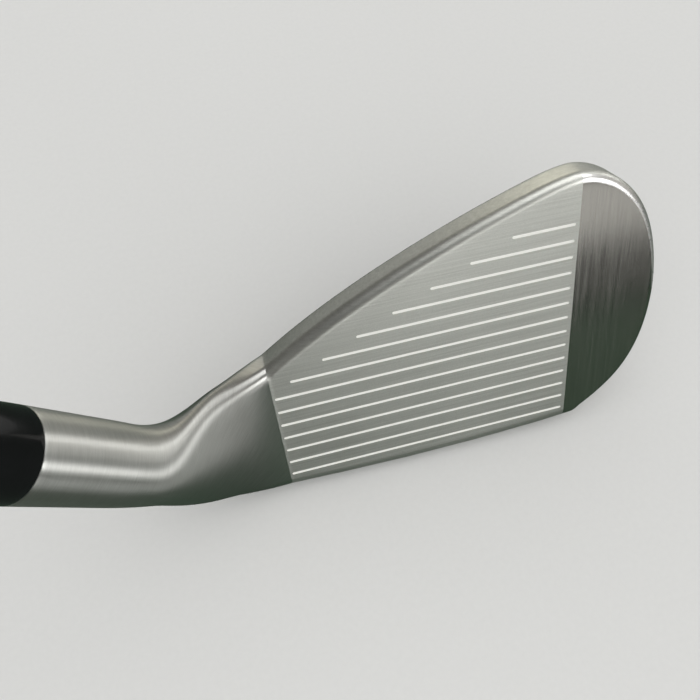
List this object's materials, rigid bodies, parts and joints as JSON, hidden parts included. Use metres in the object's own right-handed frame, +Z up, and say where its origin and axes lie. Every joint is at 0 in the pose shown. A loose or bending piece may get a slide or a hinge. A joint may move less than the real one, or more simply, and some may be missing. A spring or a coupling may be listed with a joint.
{
  "type": "iron golf club",
  "caption": "Iron golf club: a lofted steel cavity-back head with grooved face, stepped steel shaft, black ferrule and tapered rubber grip, for a left-handed player.",
  "frame": {"origin": "where the shaft axis meets the ground when the club stands at address", "axes": "+X from the heel to the toe, +Y from the face to the back, +Z up, square to the ground"},
  "size_m": [0.5333, 0.0449, 0.8346],
  "materials": {
    "head_steel": "satin hosel and neck, finely milled and blasted face, brushed polished toe",
    "weight_metal": "satin, a dense dark alloy",
    "adhesive": "cured adhesive",
    "badge_metal": "dark anodised, fine brushed",
    "ferrule_plastic": "polished black",
    "shaft_chrome": "bright chrome plate",
    "label_film": "clear-coated film band",
    "tape": "crepe paper tape",
    "grip_rubber": "moulded, patterned"
  },
  "bodies": {
    "root": {"head_body": "head_steel", "toe_weight": "weight_metal", "badge_adhesive": "adhesive", "cavity_badge": "badge_metal", "hosel_epoxy": "adhesive", "tip_weight": "weight_metal", "ferrule": "ferrule_plastic", "shaft": "shaft_chrome", "shaft_label": "label_film", "grip_tape": "tape", "grip_sleeve": "grip_rubber", "grip_cap": "grip_rubber"}
  },
  "joints": []
}
